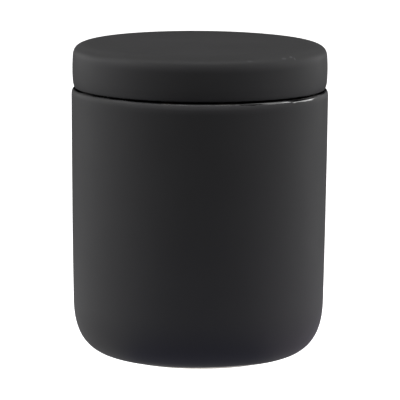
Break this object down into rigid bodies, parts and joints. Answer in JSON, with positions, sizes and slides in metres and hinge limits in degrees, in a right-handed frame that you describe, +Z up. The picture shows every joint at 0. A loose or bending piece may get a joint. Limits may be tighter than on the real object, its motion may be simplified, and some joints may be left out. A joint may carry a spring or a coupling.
{
  "type": "lidded sugar bowl",
  "caption": "Straight-sided round stoneware pot with a flat lift-off lid and a silicone sealing ring, for keeping sugar on the table.",
  "frame": {"origin": "centre of the foot ring, on the table plane", "axes": "+Z up along the pot's axis of revolution, towards the lid; +X and +Y level, the object is round"},
  "size_m": [0.0832, 0.0832, 0.1028],
  "materials": {
    "coated_stoneware": "matte charcoal coating outside, dark gloss glaze inside, bare clay foot",
    "seal_silicone": "milky translucent silicone, satin"
  },
  "bodies": {
    "pot": {"pot": "coated_stoneware"},
    "seal_ring": {"lid_seal": "seal_silicone"},
    "lid": {"lid": "coated_stoneware"}
  },
  "joints": [
    {"name": "lid_lift", "type": "slide", "parent": "pot", "child": "seal_ring", "axis": [0, 0, 1], "range_m": [0, 0.09]},
    {"name": "lid_turn", "type": "hinge", "parent": "seal_ring", "child": "lid", "pos_m": [0, 0, 0.08465], "axis": [0, 0, 1], "continuous": true}
  ]
}
